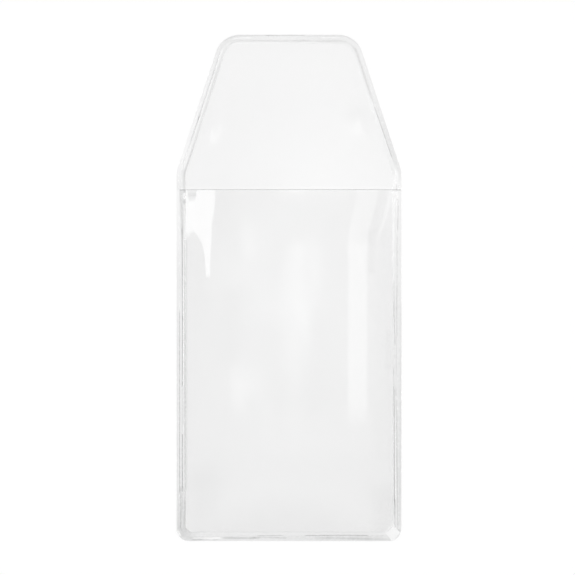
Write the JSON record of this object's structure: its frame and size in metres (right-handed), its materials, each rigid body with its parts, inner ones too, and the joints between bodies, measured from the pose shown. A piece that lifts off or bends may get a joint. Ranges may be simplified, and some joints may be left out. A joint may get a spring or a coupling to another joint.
{
  "type": "bullion bar sleeve",
  "caption": "Clear vinyl sleeve with a welded pocket open at one end and a tapered, round-cornered tuck flap that folds over the mouth.",
  "frame": {"origin": "centre of the sleeve's footprint, on the surface that its back lies on", "axes": "+X to the right seen from the front, +Y from the bottom weld to the end of the flap, +Z out of the front film"},
  "size_m": [0.0382, 0.0856, 0.0019],
  "materials": {
    "clear_vinyl": "clear plasticised PVC film, calendered and glossy, with a faint haze",
    "pressed_vinyl": "the same clear PVC, welded and pressed by the die, with glossy rounded ridges"
  },
  "bodies": {
    "pocket": {"back_film": "clear_vinyl", "front_film": "clear_vinyl", "pocket_weld": "pressed_vinyl"},
    "flap": {"flap_film": "clear_vinyl", "flap_border": "pressed_vinyl"}
  },
  "joints": [
    {"name": "flap_fold", "type": "hinge", "parent": "pocket", "child": "flap", "pos_m": [0, 0.01815, 0.00125], "axis": [1, 0, 0], "range_deg": [0, 178], "stiffness_Nm_per_rad": 0.0001}
  ]
}
